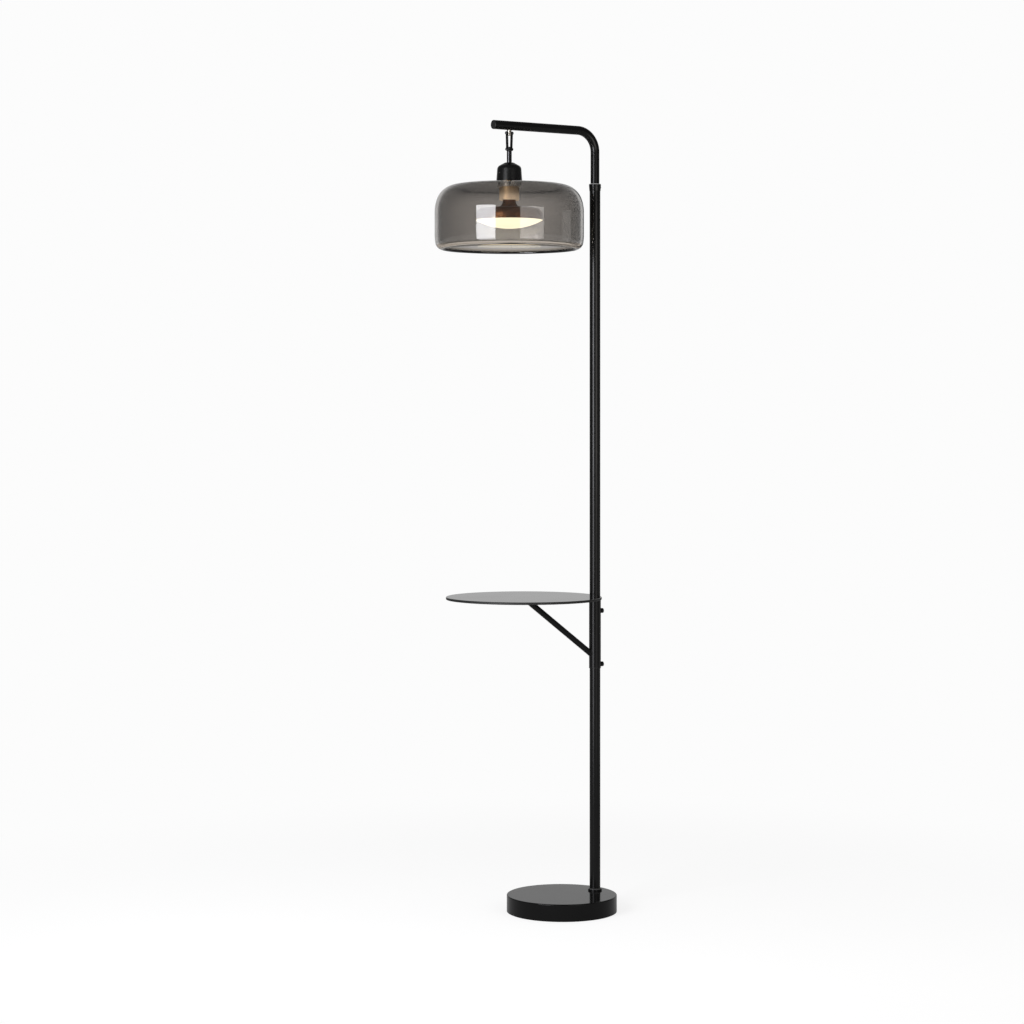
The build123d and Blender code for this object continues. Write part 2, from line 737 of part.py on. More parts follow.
# Disc lamp: flared neck, rounded shoulder, driver space and a recess for the light board
with BuildPart() as lamp_housing:
    with BuildSketch(head_section):
        with BuildLine():
            Line((0, lamp_cap_bottom), (lamp_cap_diameter / 2, lamp_cap_bottom))
            Line((lamp_cap_diameter / 2, lamp_cap_bottom), (lamp_cap_diameter / 2, holder_bottom))
            flare = TangentArc(
                (lamp_cap_diameter / 2, holder_bottom),
                (lamp_flare_diameter / 2, lamp_disc_top),
                tangent=(0, -1),
            )
            Line(flare @ 1, (lamp_radius - lamp_shoulder, lamp_disc_top))
            shoulder = CenterArc(
                (lamp_radius - lamp_shoulder, lamp_disc_top - lamp_shoulder), lamp_shoulder, 90, -90
            )
            Polyline(
                shoulder @ 1,
                (lamp_radius, lamp_disc_bottom),
                (recess_radius, lamp_disc_bottom),
                (recess_radius, lamp_disc_bottom + lamp_recess),
                (0, lamp_disc_bottom + lamp_recess),
                (0, lamp_cap_bottom),
            )
        make_face()
    revolve(axis=head_axis)
    with BuildSketch(Plane.XY.offset(lamp_disc_bottom + lamp_recess)):
        with Locations((head_x, 0)):
            Circle(lamp_radius - lamp_shoulder)
    extrude(amount=lamp_disc_height - lamp_recess - lamp_skin, mode=Mode.SUBTRACT)

with BuildPart() as led_board:
    with BuildSketch(Plane.XY.offset(lamp_disc_bottom + lamp_recess - board_thickness)):
        with Locations((head_x, 0)):
            Circle(recess_radius - lamp_rim)
    extrude(amount=board_thickness)

# Opal dome, a shallow shell
with BuildPart() as lamp_diffuser:
    with BuildSketch(head_section):
        with BuildLine():
            outer_dome = CenterArc(
                (0, dome_centre), dome_sphere, -90, degrees(asin(lamp_radius / dome_sphere))
            )
            inner_dome = CenterArc(
                (0, dome_centre), dome_inside, -90, degrees(acos((dome_sphere - dome_depth) / dome_inside))
            )
            Line(outer_dome @ 0, inner_dome @ 0)
            Line(outer_dome @ 1, inner_dome @ 1)
        make_face()
    revolve(axis=head_axis)

# Nylon bushes at the ends of the shelf's sleeve, each with a flange
with BuildPart() as shelf_bushes:
    for end, inward in ((sleeve_top, -1), (sleeve_bottom, 1)):
        with BuildSketch(Plane.XY.offset(end)):
            with Locations((pole_offset, 0)):
                Circle(bush_outside)
                Circle(bush_inside, mode=Mode.SUBTRACT)
        extrude(amount=inward * bush_length)
        with BuildSketch(Plane.XY.offset(end)):
            with Locations((pole_offset, 0)):
                Circle(sleeve_radius)
                Circle(bush_inside, mode=Mode.SUBTRACT)
        extrude(amount=-inward * bush_flange)

# Steel sleeve of the shelf bracket
with BuildPart() as shelf_sleeve:
    with BuildSketch(Plane.XY.offset(sleeve_bottom)):
        with Locations((pole_offset, 0)):
            Circle(sleeve_radius)
            Circle(sleeve_inside, mode=Mode.SUBTRACT)
    extrude(amount=sleeve_length)
    for height in thumb_heights.values():
        with BuildSketch(pole_side):
            with Locations((0, height)):
                Circle(thumb_diameter / 2 + running)
        extrude(amount=2 * sleeve_radius, mode=Mode.SUBTRACT)

# Threaded bosses welded to the back of the sleeve
with BuildPart() as thumb_bosses:
    for height in thumb_heights.values():
        with BuildSketch(pole_side):
            with Locations((0, height)):
                Circle(thumb_boss_diameter / 2)
                Circle(thumb_diameter / 2 + running, mode=Mode.SUBTRACT)
        extrude(amount=boss_end)
    with BuildSketch(Plane.XY.offset(sleeve_bottom)):
        with Locations((pole_offset, 0)):
            Circle(sleeve_radius + fit)
    extrude(amount=sleeve_length, mode=Mode.SUBTRACT)

# Flat strip under the shelf, saddled to the sleeve
with BuildPart() as shelf_strip:
    with BuildSketch(Plane.XY.offset(strip_bottom)):
        with Locations((pole_offset, 0)):
            Rectangle(strip_reach, strip_width, align=(Align.MAX, Align.CENTER))
        with Locations((pole_offset - strip_reach, 0)):
            Circle(strip_width / 2)
        with Locations((pole_offset, 0)):
            Circle(sleeve_radius + fit, mode=Mode.SUBTRACT)
        with Locations((shelf_x, 0)):
            with GridLocations(screw_spacing, 0, 2, 1):
                Circle(screw_diameter / 2 + fit, mode=Mode.SUBTRACT)
    extrude(amount=strip_thickness)

# Tubular brace from the sleeve to the strip, mitred at both ends
brace_start = Vector(pole_offset - sleeve_radius, 0, brace_foot)
brace_stop = Vector(pole_offset - brace_reach, 0, strip_bottom)
brace_direction = (brace_stop - brace_start).normalized()
brace_length = (brace_stop - brace_start).length
with BuildPart() as shelf_brace:
    with BuildSketch(Plane(origin=brace_start - brace_direction * brace_diameter / 2, z_dir=brace_direction)):
        Circle(brace_diameter / 2)
        Circle(brace_diameter / 2 - brace_wall, mode=Mode.SUBTRACT)
    extrude(amount=brace_length + 2 * brace_diameter)
    with BuildSketch(Plane.XY.offset(sleeve_bottom)):
        with Locations((pole_offset, 0)):
            Circle(sleeve_radius + fit)
    extrude(amount=sleeve_length, mode=Mode.SUBTRACT)
    with BuildSketch(Plane.XY.offset(strip_bottom)):
        with Locations((pole_offset - brace_reach, 0)):
            Rectangle(brace_reach, 2 * brace_diameter)
    extrude(amount=2 * brace_diameter, mode=Mode.SUBTRACT)

# Steel plate bonded under the shelf, and the screws that hold it to the strip
with BuildPart() as shelf_plate:
    with BuildSketch(Plane.XY.offset(plate_bottom)):
        with Locations((shelf_x, 0)):
            Circle(plate_diameter / 2)
            with GridLocations(screw_spacing, 0, 2, 1):
                Circle(screw_diameter / 2 + fit, mode=Mode.SUBTRACT)
    extrude(amount=plate_thickness)

with BuildPart() as shelf_screws:
    with BuildSketch(Plane.XY.offset(strip_bottom - screw_head_height)):
        with Locations((shelf_x, 0)):
            with GridLocations(screw_spacing, 0, 2, 1):
                Circle(screw_head_diameter / 2)
    extrude(amount=screw_head_height)
    fillet(shelf_screws.edges().group_by(Axis.Z)[0], radius=screw_head_height / 2)
    with BuildSketch(Plane.XY.offset(strip_bottom)):
        with Locations((shelf_x, 0)):
            with GridLocations(screw_spacing, 0, 2, 1):
                Circle(screw_diameter / 2)
    extrude(amount=strip_thickness + plate_thickness)

# Round shelf with ground edges
with BuildPart() as shelf_disc:
    with BuildSketch(Plane.XY.offset(shelf_bottom)):
        with Locations((shelf_x, 0)):
            Circle(shelf_diameter / 2)
    extrude(amount=shelf_thickness)
    chamfer(shelf_disc.edges().filter_by(GeomType.CIRCLE), length=shelf_bevel)


# Fluted thumbscrew along X at a height
def thumbscrew(height):
    with BuildPart() as screw:
        with BuildSketch(pole_side.offset(thumb_tip)):
            with Locations((0, height)):
                Circle(thumb_diameter / 2)
        extrude(amount=thumb_head_start - thumb_tip)
        with BuildSketch(pole_side.offset(thumb_head_start)):
            with Locations((0, height)):
                Circle(thumb_head_diameter / 2)
                with PolarLocations(thumb_head_diameter / 2, thumb_flutes):
                    Circle(thumb_flute_diameter / 2, mode=Mode.SUBTRACT)
        extrude(amount=thumb_head_length)
    return screw


thumbscrew_upper = thumbscrew(thumb_heights["thumbscrew_upper"])
thumbscrew_lower = thumbscrew(thumb_heights["thumbscrew_lower"])

pieces = {
    "floor_pad": floor_pad,
    "base_weight": base_weight,
    "base_cover": base_cover,
    "cord_inlet": cord_inlet,
    "pole_nipple": pole_nipple,
    "nipple_washer": nipple_washer,
    "nipple_nut": nipple_nut,
    "pole_plug": pole_plug,
    "foot_collar": foot_collar,
    "pole_lower": pole_lower,
    "pole_coupler": pole_coupler,
    "pole_upper": pole_upper,
    "ferrule": ferrule,
    "ferrule_screw": ferrule_screw,
    "arm_seat": arm_seat,
    "arm_tube": arm_tube,
    "arm_end_cap": arm_end_cap,
    "hanger_lug": hanger_lug,
    "hanger_upper_pin": hanger_upper_pin,
    "hanger_links": hanger_links,
    "hanger_lower_pin": hanger_lower_pin,
    "stem": stem,
    "socket_cap": socket_cap,
    "shade_gasket": shade_gasket,
    "glass_shade": glass_shade,
    "shade_ring": shade_ring,
    "lampholder": lampholder,
    "lampholder_insert": lampholder_insert,
    "centre_contact": centre_contact,
    "lamp_cap": lamp_cap,
    "lamp_housing": lamp_housing,
    "led_board": led_board,
    "lamp_diffuser": lamp_diffuser,
    "shelf_bushes": shelf_bushes,
    "shelf_sleeve": shelf_sleeve,
    "thumb_bosses": thumb_bosses,
    "shelf_strip": shelf_strip,
    "shelf_brace": shelf_brace,
    "shelf_plate": shelf_plate,
    "shelf_screws": shelf_screws,
    "shelf_disc": shelf_disc,
    "thumbscrew_upper": thumbscrew_upper,
    "thumbscrew_lower": thumbscrew_lower,
}
for name, piece in pieces.items():
    piece.part.label = name
    export_step(piece.part, f"parts/{name}.step")
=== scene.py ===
import math

import bmesh
import bpy
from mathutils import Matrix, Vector


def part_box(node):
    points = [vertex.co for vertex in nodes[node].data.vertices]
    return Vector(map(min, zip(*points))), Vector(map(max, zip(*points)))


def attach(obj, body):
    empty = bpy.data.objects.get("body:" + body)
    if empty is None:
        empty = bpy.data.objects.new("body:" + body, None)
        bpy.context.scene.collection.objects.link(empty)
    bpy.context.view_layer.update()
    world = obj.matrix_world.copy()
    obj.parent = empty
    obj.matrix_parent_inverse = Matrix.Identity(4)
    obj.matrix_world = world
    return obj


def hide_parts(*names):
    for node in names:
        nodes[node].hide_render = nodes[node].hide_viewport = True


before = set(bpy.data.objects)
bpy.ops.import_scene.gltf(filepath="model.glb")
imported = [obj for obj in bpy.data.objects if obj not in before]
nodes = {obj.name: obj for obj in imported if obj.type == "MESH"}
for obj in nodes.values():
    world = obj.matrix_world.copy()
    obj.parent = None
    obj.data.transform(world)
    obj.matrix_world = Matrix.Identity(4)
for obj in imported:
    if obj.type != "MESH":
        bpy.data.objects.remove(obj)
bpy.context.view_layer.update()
scene = bpy.context.scene
scene.view_settings.view_transform = "Standard"
print("frame loaded,", len(nodes), "nodes")


# colours are written as sRGB hex and used as linear
def linear(hexText):
    channels = [int(hexText[i:i + 2], 16) / 255 for i in (1, 3, 5)]
    return [c / 12.92 if c <= 0.04045 else ((c + 0.055) / 1.055) ** 2.4 for c in channels] + [1.0]


# one node, its values or settings, and what feeds its sockets (a socket is a name or a number)
def addNode(tree, kind, settings=None, links=None):
    node = tree.nodes.new(kind)
    for name, value in (settings or {}).items():
        if isinstance(name, int) or name in node.inputs:
            node.inputs[name].default_value = value
        else:
            setattr(node, name, value)
    for name, source in (links or {}).items():
        tree.links.new(source, node.inputs[name])
    return node


# scale of a noise whose patches are about this many millimetres across
def perMetre(millimetres):
    return 1000 / millimetres


# the camera of the photograph: level, a long lens, the frame shifted down
photoCamera = {"place": (-2.788, -4.318, 1.0118), "turn": -31.72, "lens": 88.8, "sensor": 36,
               "shiftDown": 0.0958}
cameraData = bpy.data.cameras.new("photoCamera")
cameraData.lens = photoCamera["lens"]
cameraData.sensor_width = photoCamera["sensor"]
cameraData.shift_y = -photoCamera["shiftDown"]
camera = bpy.data.objects.new("photoCamera", cameraData)
camera.location = photoCamera["place"]
camera.rotation_euler = (math.radians(90), 0, math.radians(photoCamera["turn"]))
scene.collection.objects.link(camera)
scene.camera = camera

glassLow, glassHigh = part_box("glass_shade")
shadeAxis = (glassLow + glassHigh) / 2
towardsCamera = (Vector(photoCamera["place"]) - shadeAxis).to_2d().normalized()
towardsLeft = Vector((towardsCamera.y, -towardsCamera.x))

# softboxes that stand on the floor, the two wide ones with a dimmer lower panel, each by its bearing from the
# shade in degrees to the left of the camera, and its edges in degrees below and above the shade
softboxes = {
    "keySoftbox": {"bearing": 35.4, "halfWidth": 14.8, "below": 16, "above": 9.8, "away": 2.2,
                   "radiance": 11.0, "tint": "#fafbff"},
    "keyFoot": {"bearing": 35.4, "halfWidth": 14.8, "below": 32, "above": -16, "away": 2.2,
                "radiance": 5.0, "tint": "#fafbff"},
    "fillSoftbox": {"bearing": -34.5, "halfWidth": 18.2, "below": 16, "above": 6.0, "away": 2.2,
                    "radiance": 2.9, "tint": "#fffaf5"},
    "fillFoot": {"bearing": -34.5, "halfWidth": 18.2, "below": 32, "above": -16, "away": 2.2,
                 "radiance": 0.8, "tint": "#fffaf5"},
    "sideStrip": {"bearing": -97, "halfWidth": 10, "below": 32, "above": 5, "away": 2.2,
                  "radiance": 0.4, "tint": "#fffdfa"},
}
for name, box in softboxes.items():
    bearing = math.radians(box["bearing"])
    direction = towardsCamera * math.cos(bearing) + towardsLeft * math.sin(bearing)
    lowEdge = shadeAxis.z - box["away"] * math.tan(math.radians(box["below"]))
    highEdge = shadeAxis.z + box["away"] * math.tan(math.radians(box["above"]))
    light = bpy.data.lights.new(name, "AREA")
    light.shape = "RECTANGLE"
    light.size = 2 * box["away"] * math.tan(math.radians(box["halfWidth"]))
    light.size_y = highEdge - lowEdge
    light.color = linear(box["tint"])[:3]
    light.energy = box["radiance"] * math.pi * light.size * light.size_y
    lamp = bpy.data.objects.new(name, light)
    lamp.location = (*(shadeAxis.to_2d() + direction * box["away"]), (lowEdge + highEdge) / 2)
    lamp.rotation_euler = Vector((direction.x, direction.y, 0)).to_track_quat("Z", "Y").to_euler()
    lamp.visible_camera = False
    scene.collection.objects.link(lamp)

# white room: full white where it is looked at, a grey backdrop and dark sides in reflections, a plain fill
# where it lights
room = {"white": "#fcfcfc", "seen": 1.0, "fill": 0.40, "backdrop": 0.60, "sides": 0.12,
        "backdropDegrees": (12, 50)}
world = bpy.data.worlds.new("whiteRoom")
scene.world = world
world.use_nodes = True
tree = world.node_tree
path = addNode(tree, "ShaderNodeLightPath")
where = addNode(tree, "ShaderNodeTexCoord")
ahead = addNode(tree, "ShaderNodeVectorMath", {"operation": "DOT_PRODUCT", 1: (*-towardsCamera, 0)},
                {0: where.outputs["Generated"]})
nearDegrees, farDegrees = room["backdropDegrees"]
mirrored = addNode(tree, "ShaderNodeMapRange",
                   {"interpolation_type": "SMOOTHSTEP", "From Min": math.cos(math.radians(farDegrees)),
                    "From Max": math.cos(math.radians(nearDegrees)), "To Min": room["sides"],
                    "To Max": room["backdrop"]}, {"Value": ahead.outputs["Value"]})
lighting = addNode(tree, "ShaderNodeMix", {2: room["fill"]},
                   {0: path.outputs["Is Glossy Ray"], 3: mirrored.outputs[0]})
seen = addNode(tree, "ShaderNodeMath", {"operation": "ADD", "use_clamp": True},
               {0: path.outputs["Is Camera Ray"], 1: path.outputs["Is Transmission Ray"]})
strength = addNode(tree, "ShaderNodeMix", {3: room["seen"]}, {0: seen.outputs[0], 2: lighting.outputs[0]})
backdrop = tree.nodes["Background"]
backdrop.inputs["Color"].default_value = linear(room["white"])
tree.links.new(strength.outputs[0], backdrop.inputs["Strength"])

# matte studio paper: near the lamp it takes light and shadow, further out it is the room's own white
floorSet = {"half": 20, "litRadius": (0.5, 1.6), "paper": "#8c8c8c", "farPaper": "#000000", "roughness": 0.9,
            "specular": 0.0, "glow": 0.81, "farGlow": 1.0, "mirrored": 0.35}
floorMesh = bpy.data.meshes.new("studioFloor")
corner = floorSet["half"]
corners = [(-corner, -corner, 0), (corner, -corner, 0), (corner, corner, 0), (-corner, corner, 0)]
floorMesh.from_pydata(corners, [], [(0, 1, 2, 3)])
floor = bpy.data.objects.new("studioFloor", floorMesh)
scene.collection.objects.link(floor)
paper = bpy.data.materials.new("matteStudioPaper")
paper.use_nodes = True
tree = paper.node_tree
shader = tree.nodes["Principled BSDF"]
shader.inputs["Roughness"].default_value = floorSet["roughness"]
shader.inputs["Specular IOR Level"].default_value = floorSet["specular"]
where = addNode(tree, "ShaderNodeTexCoord")
distance = addNode(tree, "ShaderNodeVectorMath", {"operation": "LENGTH"}, {0: where.outputs["Object"]})
litNear, litFar = floorSet["litRadius"]
lit = addNode(tree, "ShaderNodeMapRange",
              {"interpolation_type": "SMOOTHSTEP", "From Min": litNear, "From Max": litFar, "To Min": 1.0,
               "To Max": 0.0}, {"Value": distance.outputs["Value"]})
tint = addNode(tree, "ShaderNodeMix",
               {"data_type": "RGBA", 6: linear(floorSet["farPaper"]), 7: linear(floorSet["paper"])},
               {0: lit.outputs[0]})
tree.links.new(tint.outputs[2], shader.inputs["Base Color"])
path = addNode(tree, "ShaderNodeLightPath")
seen = addNode(tree, "ShaderNodeMath", {"operation": "ADD", "use_clamp": True},
               {0: path.outputs["Is Camera Ray"], 1: path.outputs["Is Transmission Ray"]})
seen = addNode(tree, "ShaderNodeMath", {"operation": "MULTIPLY_ADD", 1: floorSet["mirrored"]},
               {0: path.outputs["Is Glossy Ray"], 2: seen.outputs[0]})
glow = addNode(tree, "ShaderNodeMapRange", {"To Min": floorSet["farGlow"], "To Max": floorSet["glow"]},
               {"Value": lit.outputs[0]})
glow = addNode(tree, "ShaderNodeMath", {"operation": "MULTIPLY"}, {0: glow.outputs[0], 1: seen.outputs[0]})
shader.inputs["Emission Color"].default_value = linear(room["white"])
tree.links.new(glow.outputs[0], shader.inputs["Emission Strength"])
floorMesh.materials.append(paper)
print("camera, lights and floor set")

# what every surface shares: detail of its noises, the part of a noise that is spread over the roughness, and
# the cosine of the bend at which an edge is fully rubbed
grain = {"cloudDetail": 4.0, "smearDetail": 3.0, "reliefDetail": 2.0, "smearSpan": (0.3, 0.7),
         "rubbedBend": 0.75, "edgeSamples": 4}


# a coated, plated or moulded surface: clouded colour, uneven roughness, fine relief and rubbed edges; it may
# take a painted highlight band above a height, be ground dull or take a painted glow from one height to
# another
def surface(look):
    material = bpy.data.materials.new(look["name"])
    material.use_nodes = True
    tree = material.node_tree
    shader = tree.nodes["Principled BSDF"]
    for socket, value in look["sockets"].items():
        shader.inputs[socket].default_value = value
    where = addNode(tree, "ShaderNodeTexCoord")
    if {"highlightBand", "ground", "glow"} & look.keys():
        height = addNode(tree, "ShaderNodeSeparateXYZ", None, {0: where.outputs["Object"]})
    cloud = addNode(tree, "ShaderNodeTexNoise",
                    {"Scale": perMetre(look["cloudMm"]), "Detail": grain["cloudDetail"]},
                    {"Vector": where.outputs["Object"]})
    colour = addNode(tree, "ShaderNodeMix",
                     {"data_type": "RGBA", 6: linear(look["dark"]), 7: linear(look["light"])},
                     {0: cloud.outputs["Fac"]})
    bevel = addNode(tree, "ShaderNodeBevel",
                    {"samples": grain["edgeSamples"], "Radius": look["edgeMm"] / 1000})
    # painted highlight: a light band above a height on the top chamfer, in place of the rubbed edges
    if "highlightBand" in look:
        rubAndHighlightMask = addNode(tree, "ShaderNodeMapRange",
                         {"From Min": look["highlightBand"]["from"], "From Max": look["highlightBand"]["to"],
                          "To Max": look["rubAndHighlight"]}, {"Value": height.outputs["Z"]})
    else:
        face = addNode(tree, "ShaderNodeNewGeometry")
        bend = addNode(tree, "ShaderNodeVectorMath", {"operation": "DOT_PRODUCT"},
                       {0: bevel.outputs["Normal"], 1: face.outputs["Normal"]})
        rubAndHighlightMask = addNode(tree, "ShaderNodeMapRange",
                         {"From Min": 1.0, "From Max": grain["rubbedBend"], "To Max": look["rubAndHighlight"]},
                         {"Value": bend.outputs["Value"]})
    # the edge colour over the mask: real wear on rubbed edges, a painted highlight on the chamfer band
    rubAndHighlightColour = addNode(tree, "ShaderNodeMix", {"data_type": "RGBA", 7: linear(look["edge"])},
                   {0: rubAndHighlightMask.outputs[0], 6: colour.outputs[2]})
    tree.links.new(rubAndHighlightColour.outputs[2], shader.inputs["Base Color"])
    smear = addNode(tree, "ShaderNodeTexNoise",
                    {"Scale": perMetre(look["smearMm"]), "Detail": grain["smearDetail"]},
                    {"Vector": where.outputs["Object"]})
    smearLow, smearHigh = grain["smearSpan"]
    smooth, dull = look["rough"]
    rough = addNode(tree, "ShaderNodeMapRange",
                    {"From Min": smearLow, "From Max": smearHigh, "To Min": smooth, "To Max": dull},
                    {"Value": smear.outputs["Fac"]})
    if "ground" in look:
        ground = addNode(tree, "ShaderNodeMapRange",
                         {"From Min": look["ground"]["from"], "From Max": look["ground"]["to"],
                          "To Max": look["ground"]["rough"]}, {"Value": height.outputs["Z"]})
        rough = addNode(tree, "ShaderNodeMath", {"operation": "MAXIMUM"},
                        {0: rough.outputs[0], 1: ground.outputs[0]})
    tree.links.new(rough.outputs[0], shader.inputs["Roughness"])
    # painted glow: emission from one height to another, in place of light falling on the piece
    if "glow" in look:
        glow = addNode(tree, "ShaderNodeMapRange",
                       {"interpolation_type": "SMOOTHSTEP", "From Min": look["glow"]["from"],
                        "From Max": look["glow"]["to"], "To Max": look["glow"]["strength"]},
                       {"Value": height.outputs["Z"]})
        tree.links.new(glow.outputs[0], shader.inputs["Emission Strength"])
    relief = addNode(tree, "ShaderNodeTexNoise",
                     {"Scale": perMetre(look["reliefMm"]), "Detail": grain["reliefDetail"]},
                     {"Vector": where.outputs["Object"]})
    bump = addNode(tree, "ShaderNodeBump", {"Strength": 1.0, "Distance": look["reliefDepthMm"] / 1000},
                   {"Height": relief.outputs["Fac"], "Normal": bevel.outputs["Normal"]})
    tree.links.new(bump.outputs["Normal"], shader.inputs["Normal"])
    return material


finishes = {}
# black powder coat on steel tube: satin, a faint orange peel (really 1 mm, drawn at 2.5 mm so that it shows)
finishes["powderCoat"] = surface({
    "name": "blackPowderCoatedSteel", "dark": "#0c0c0c", "light": "#131313", "edge": "#262626", "rubAndHighlight": 0.6,
    "edgeMm": 0.6, "cloudMm": 60, "smearMm": 45, "rough": (0.16, 0.22),
    "reliefMm": 2.5, "reliefDepthMm": 0.003, "sockets": {"IOR": 1.5, "Specular IOR Level": 0.2}})
# the same coat on the turned ferrule and collar: a painted highlight, a light line on their top chamfers
# standing in for the light they catch
chamfers = {
    "ferrule": {"finish": "ferruleCoat", "name": "ferrulePowderCoat", "heightMm": 1.3, "fadeMm": 0.2,
                "steel": "#d2d2d2"},
    "foot_collar": {"finish": "collarCoat", "name": "collarPowderCoat", "heightMm": 2.1, "fadeMm": 0.2,
                    "steel": "#3e3e3e"},
}
for node, chamfer in chamfers.items():
    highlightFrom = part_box(node)[1].z - chamfer["heightMm"] / 1000
    finishes[chamfer["finish"]] = surface({
        "highlightBand": {"from": highlightFrom, "to": highlightFrom + chamfer["fadeMm"] / 1000},
        "name": chamfer["name"], "dark": "#0c0c0c", "light": "#131313", "edge": chamfer["steel"], "rubAndHighlight": 0.9,
        "edgeMm": 0.6, "cloudMm": 20, "smearMm": 12, "rough": (0.16, 0.24), "reliefMm": 2.5,
        "reliefDepthMm": 0.003, "sockets": {"IOR": 1.5, "Specular IOR Level": 0.22}})
# the same coat, baked smoother on the spun base cover: the pole shows in it
finishes["baseCoat"] = surface({
    "name": "smoothPowderCoatedCover", "dark": "#0b0b0b", "light": "#121212", "edge": "#262626", "rubAndHighlight": 0.6,
    "edgeMm": 0.8, "cloudMm": 90, "smearMm": 60, "rough": (0.09, 0.15),
    "reliefMm": 3.0, "reliefDepthMm": 0.004, "sockets": {"IOR": 1.5, "Specular IOR Level": 0.16}})
# spun cap, sprayed matt: a broad soft light on its side
finishes["capPaint"] = surface({
    "name": "mattSprayedCap", "dark": "#0b0b0b", "light": "#111111", "edge": "#1e1e1e", "rubAndHighlight": 0.4,
    "edgeMm": 0.6, "cloudMm": 30, "smearMm": 25, "rough": (0.24, 0.30),
    "reliefMm": 1.2, "reliefDepthMm": 0.01, "sockets": {"IOR": 1.5, "Specular IOR Level": 0.4}})
# black nickel plate on turned steel: dark mirror, lighter on corners
finishes["blackNickel"] = surface({
    "name": "blackNickelPlate", "dark": "#3a3a3c", "light": "#48484a", "edge": "#6a6a6c", "rubAndHighlight": 0.7,
    "edgeMm": 0.3, "cloudMm": 12, "smearMm": 8, "rough": (0.10, 0.18),
    "reliefMm": 0.8, "reliefDepthMm": 0.004, "sockets": {"Metallic": 1.0}})
# zinc plate: pale grey, slightly clouded
finishes["zinc"] = surface({
    "name": "zincPlatedSteel", "dark": "#a9abad", "light": "#c6c8c9", "edge": "#d8dadb", "rubAndHighlight": 0.5,
    "edgeMm": 0.3, "cloudMm": 6, "smearMm": 5, "rough": (0.28, 0.42),
    "reliefMm": 0.8, "reliefDepthMm": 0.005, "sockets": {"Metallic": 1.0}})
# satin brass of the lampholder: warm and soft, with a painted glow on its lower end that stands in for the
# lamp's light
holder = {"foot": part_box("lampholder")[0].z, "paintedGlowHeight": 0.025, "paintedGlowStrength": 0.6}
finishes["brass"] = surface({
    "glow": {"from": holder["foot"] + holder["paintedGlowHeight"], "to": holder["foot"],
             "strength": holder["paintedGlowStrength"]},
    "name": "satinTurnedBrass", "dark": "#b3966f", "light": "#c9ad88", "edge": "#ddc6a4", "rubAndHighlight": 0.5,
    "edgeMm": 0.4, "cloudMm": 14, "smearMm": 6, "rough": (0.46, 0.56),
    "reliefMm": 0.8, "reliefDepthMm": 0.006,
    "sockets": {"Metallic": 1.0, "Emission Color": linear("#ffe9cc")}})
# nickel on the lamp's screw cap, the shade ring and the hanger's lug: light grey, a soft mirror
finishes["nickel"] = surface({
    "name": "nickelPlatedBrass", "dark": "#b3aea4", "light": "#cbc6bc", "edge": "#dedad2", "rubAndHighlight": 0.4,
    "edgeMm": 0.3, "cloudMm": 8, "smearMm": 6, "rough": (0.22, 0.34),
    "reliefMm": 0.8, "reliefDepthMm": 0.004, "sockets": {"Metallic": 1.0}})
# bronze anodised aluminium of the lamp's housing: brown metal with a copper glint
finishes["bronze"] = surface({
    "name": "bronzeAnodisedAluminium", "dark": "#5b3d28", "light": "#7a5436", "edge": "#a07650", "rubAndHighlight": 0.6,
    "edgeMm": 0.5, "cloudMm": 20, "smearMm": 10, "rough": (0.26, 0.36),
    "reliefMm": 0.8, "reliefDepthMm": 0.004, "sockets": {"Metallic": 1.0}})
# white solder mask on the aluminium light board: an even, dull white
finishes["board"] = surface({
    "name": "whiteMaskedAluminium", "dark": "#d9d8d2", "light": "#ecebe5", "edge": "#f2f1ec", "rubAndHighlight": 0.3,
    "edgeMm": 0.3, "cloudMm": 10, "smearMm": 8, "rough": (0.40, 0.50),
    "reliefMm": 1.0, "reliefDepthMm": 0.004, "sockets": {"IOR": 1.5}})
# sand-cast iron weight: coarse, grey-brown
finishes["castIron"] = surface({
    "name": "sandCastIron", "dark": "#3a3836", "light": "#55524f", "edge": "#6c6965", "rubAndHighlight": 0.5,
    "edgeMm": 0.8, "cloudMm": 8, "smearMm": 6, "rough": (0.55, 0.75),
    "reliefMm": 1.5, "reliefDepthMm": 0.15, "sockets": {"Metallic": 1.0}})
# moulded nylon: black, dull, faintly pebbled
finishes["nylon"] = surface({
    "name": "mouldedBlackNylon", "dark": "#161616", "light": "#1f1f1f", "edge": "#2e2e2e", "rubAndHighlight": 0.4,
    "edgeMm": 0.4, "cloudMm": 20, "smearMm": 14, "rough": (0.42, 0.55),
    "reliefMm": 1.0, "reliefDepthMm": 0.02, "sockets": {"IOR": 1.53, "Specular IOR Level": 0.3}})
# the same, left uncoloured: off-white
finishes["whiteNylon"] = surface({
    "name": "mouldedNaturalNylon", "dark": "#d6d3c9", "light": "#e4e1d8", "edge": "#efece4", "rubAndHighlight": 0.3,
    "edgeMm": 0.4, "cloudMm": 20, "smearMm": 14, "rough": (0.42, 0.55),
    "reliefMm": 1.0, "reliefDepthMm": 0.02, "sockets": {"IOR": 1.53}})
# moulded rubber bush: matt, with a fine grain
finishes["rubber"] = surface({
    "name": "mouldedBlackRubber", "dark": "#171717", "light": "#202020", "edge": "#2a2a2a", "rubAndHighlight": 0.3,
    "edgeMm": 0.5, "cloudMm": 15, "smearMm": 10, "rough": (0.6, 0.75),
    "reliefMm": 0.8, "reliefDepthMm": 0.03, "sockets": {"IOR": 1.52, "Specular IOR Level": 0.3}})
